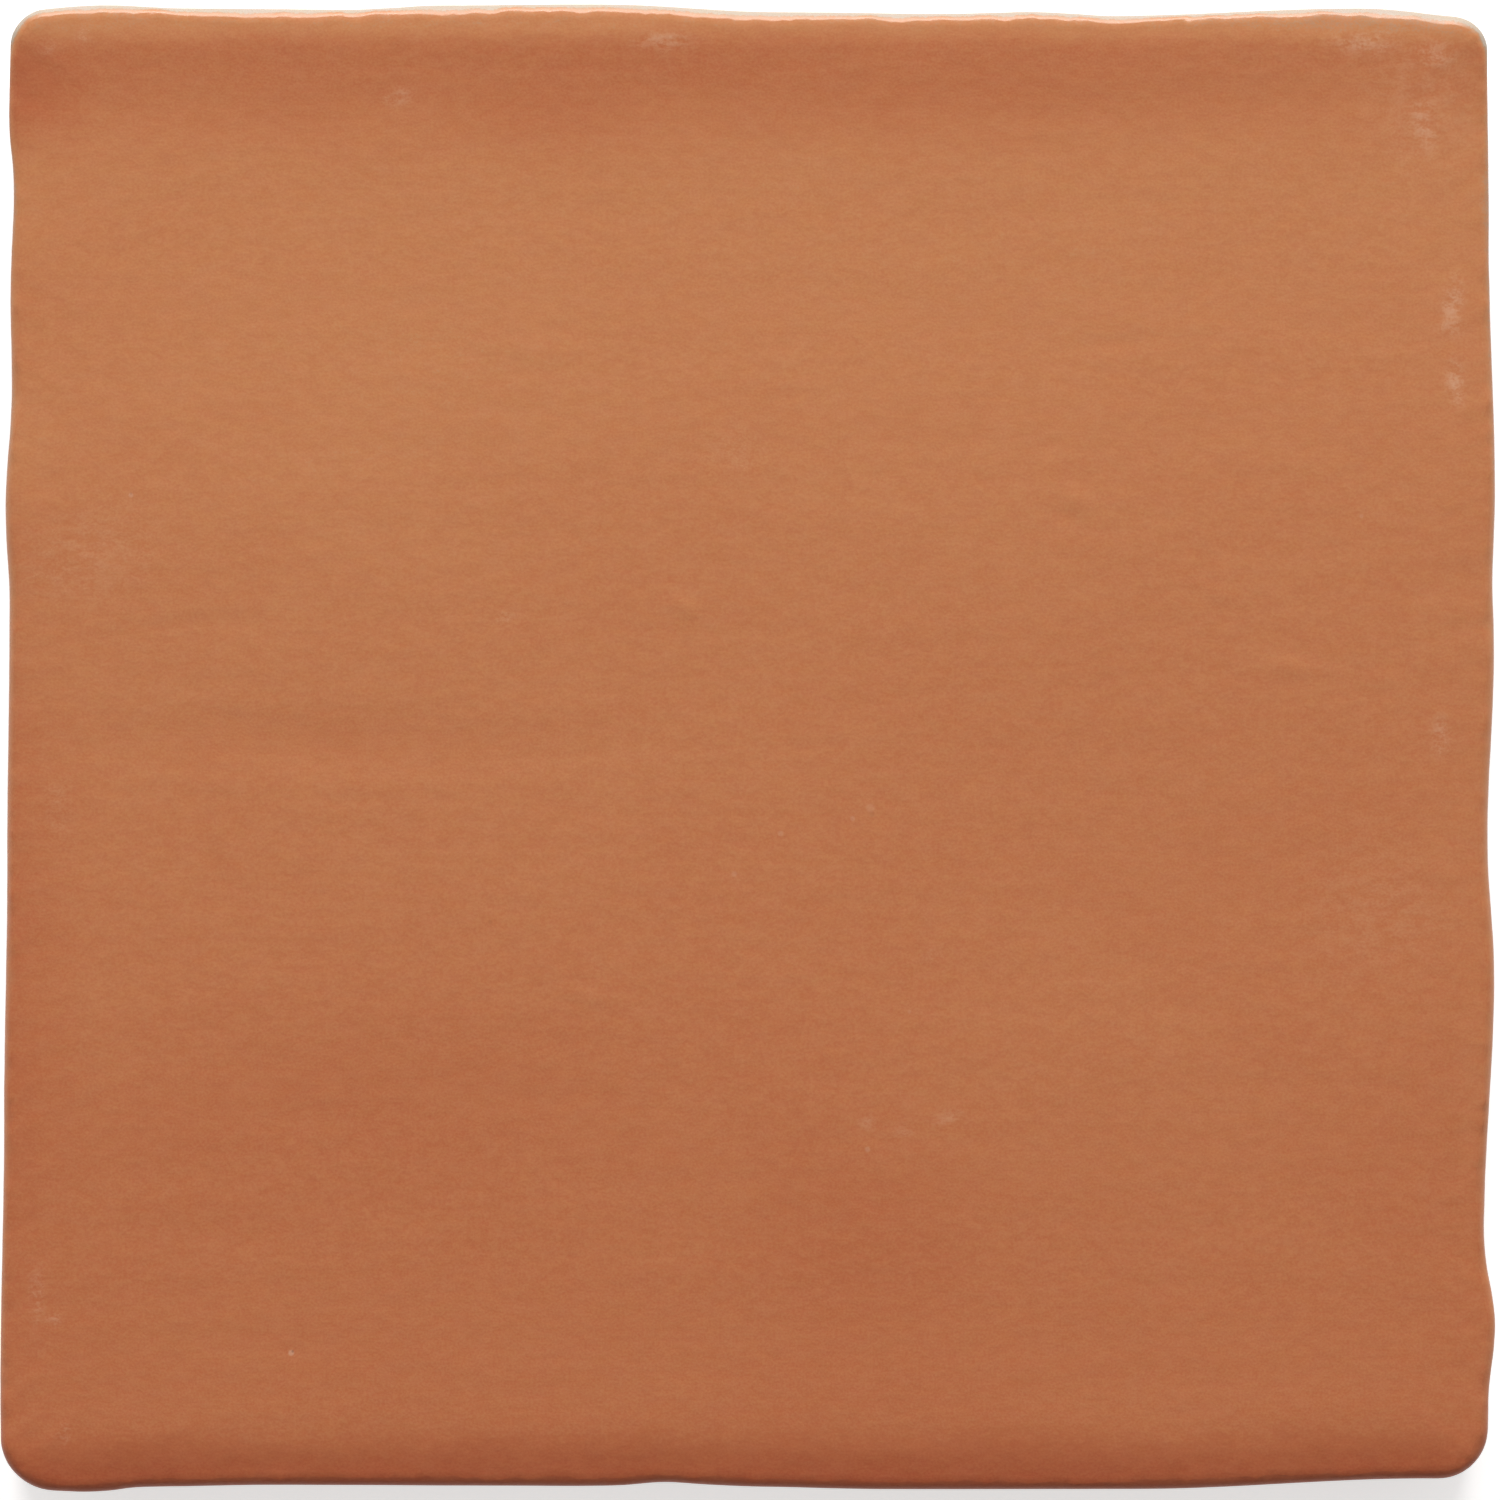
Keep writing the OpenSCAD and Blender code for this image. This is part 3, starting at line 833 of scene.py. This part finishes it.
def make_glaze(mottle, speck):
    """Satin terracotta glaze that ends low on the sides, over bare biscuit clay."""
    made = bpy.data.materials.new(SLOT)
    made.use_nodes = True
    tree = made.node_tree
    shader = tree.nodes["Principled BSDF"]
    place = wired(tree, "ShaderNodeTexCoord", result="Object")
    x, y, z = split(tree, place)
    on_face = join(tree, x, y)
    thinness_and_painted_light, rubbed, arris = [
        wired(tree, "ShaderNodeAttribute", result="Fac", attribute_name=name)
        for name in ("thinness_and_painted_light", "rubbed", "arris")]

    leathery = patches(
        tree, mottle, place, LEATHER_SIZE, stretch=1.8, detail=2.0, roughness=0.6, seed=6.0)
    grain = patches(
        tree, mottle, place, GRAIN_SIZE, stretch=1.2, detail=1.0, roughness=0.6, seed=7.0)
    grit = patches(
        tree, mottle, place, GRIT_SIZE, stretch=1.0, detail=3.0, roughness=0.65, seed=9.0)

    tinted = thinness_and_painted_light + leathery * LEATHER_TINT + grain * GRAIN_TINT
    colour = fired_colour(tree, mottle, place, tinted)
    chalk = spread(tree, leathery + grain * CHALK_GRAIN, *CHALK_RANGE)
    chalky = chalk * rubbed * CHALK_SHARE
    colour = blend(tree, chalky, colour, CHALK)
    colour = blend(tree, dotted(tree, speck, on_face, PALE_SPECKS), colour, CHALK)
    colour = blend(tree, dotted(tree, speck, on_face, DARK_SPECKS), colour, SPECK)

    # Bare clay below the glaze's ragged edge
    edge_height = GLAZE_EDGE + thinness_and_painted_light * GLAZE_EDGE_RISE + leathery * GLAZE_EDGE_RAG
    glazed = spread(tree, z - edge_height, -GLAZE_EDGE_BLUR, GLAZE_EDGE_BLUR)
    clay = blend(tree, spread(tree, grit, -1, 1), CLAY_DARK, CLAY_PALE)
    feed(tree, shader.inputs["Base Color"], blend(tree, glazed, clay, colour))

    # Chalk dulls the satin, and so does the turn of the arris
    satin = spread(tree, leathery, -1.0, 1.0, SATIN_LOW, SATIN_HIGH)
    satin = satin + chalky * CHALK_DULLING + arris * (1.0 - arris) * ARRIS_DULLING
    roughness = satin * glazed + CLAY_ROUGHNESS * (1.0 - glazed)
    feed(tree, shader.inputs["Roughness"], roughness)
    shader.inputs["IOR"].default_value = GLAZE_IOR

    glaze_relief = leathery * LEATHER_RISE + grain * GRAIN_RISE
    clay_relief = leathery * CLAY_RISE + grain * CLAY_GRAIN_RISE
    height = clay_relief + (glaze_relief - clay_relief + GLAZE_LIP) * glazed
    bump = node(tree, "ShaderNodeBump", {"Height": height, "Distance": 1.0, "Strength": 1.0})
    feed(tree, shader.inputs["Normal"], out(tree, bump, "Normal"))
    return made


# ---------------------------------------------------------------- the studio

def make_floor():
    """A wide white floor, white to the camera and in reflections, that keeps the tile's shadow."""
    bpy.ops.mesh.primitive_plane_add(size=FLOOR_SIZE, location=(0, 0, -FLOOR_DROP))
    floor = bpy.context.object
    floor.name = "studio_floor"
    made = bpy.data.materials.new("studio_white")
    made.use_nodes = True
    tree = made.node_tree
    shader = tree.nodes["Principled BSDF"]
    shader.inputs["Base Color"].default_value = FLOOR_PAINT
    shader.inputs["Roughness"].default_value = FLOOR_ROUGHNESS
    path = tree.nodes.new("ShaderNodeLightPath")
    seen = reckon(
        tree, "MAXIMUM", out(tree, path, "Is Camera Ray"), out(tree, path, "Is Glossy Ray"))
    glow = wired(tree, "ShaderNodeEmission", {"Color": WHITE, "Strength": seen * FLOOR_GLOW})
    both = wired(tree, "ShaderNodeAddShader", {0: out(tree, shader), 1: glow})
    feed(tree, tree.nodes["Material Output"].inputs["Surface"], both)
    made.cycles.emission_sampling = "NONE"
    floor.data.materials.append(made)


def make_world():
    """Soft air, brighter on the window's side, and plain white behind everything."""
    world = bpy.data.worlds.new("studio_air")
    world.use_nodes = True
    tree = world.node_tree
    lit = tree.nodes["Background"]
    lit.inputs["Color"].default_value = WHITE
    towards = split(tree, wired(tree, "ShaderNodeTexCoord", result="Generated"))[1]
    strength = spread(tree, towards, -WORLD_TURN, WORLD_TURN, WORLD_NEAR, WORLD_FAR)
    feed(tree, lit.inputs["Strength"], strength)
    white = wired(tree, "ShaderNodeBackground", {"Color": WHITE, "Strength": 1.0})
    seen = wired(tree, "ShaderNodeLightPath", result="Is Camera Ray")
    mix = wired(tree, "ShaderNodeMixShader", {0: seen, 1: out(tree, lit), 2: white})
    feed(tree, tree.nodes["World Output"].inputs["Surface"], mix)
    bpy.context.scene.world = world


def make_softbox(name, place, aim, width, height, radiance, colour):
    """A square-edged area light, as bright as its radiance says at any size."""
    lamp = bpy.data.lights.new(name, "AREA")
    lamp.shape = "RECTANGLE"
    lamp.size = width
    lamp.size_y = height
    lamp.energy = radiance * math.pi * width * height
    lamp.color = colour
    made = bpy.data.objects.new(name, lamp)
    made.location = place
    made.rotation_euler = (Vector(aim) - Vector(place)).to_track_quat("-Z", "Y").to_euler()
    bpy.context.scene.collection.objects.link(made)


def make_camera(subject_height):
    """Looks straight down on the face from far off, with the tile filling the frame."""
    lens = bpy.data.cameras.new("camera")
    lens.sensor_width = SENSOR_WIDTH
    lens.lens = SENSOR_WIDTH * (CAMERA_HEIGHT - subject_height) / FRAME_WIDTH
    camera = bpy.data.objects.new("camera", lens)
    camera.location = (*FRAME_CENTRE, CAMERA_HEIGHT)
    bpy.context.scene.collection.objects.link(camera)
    bpy.context.scene.camera = camera


# ---------------------------------------------------------------- the scene

tile, tile_rim_height = make_skin(make_glaze(build_mottle(), build_speck()))
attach(tile, "root")
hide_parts(NODE)

make_floor()
make_world()
make_softbox(
    "window_light", WINDOW_PLACE, (0, 0, 0), WINDOW_WIDTH, WINDOW_HEIGHT, WINDOW_RADIANCE,
    WINDOW_TINT)
make_camera(tile_rim_height)
bpy.context.scene.view_settings.view_transform = "Standard"
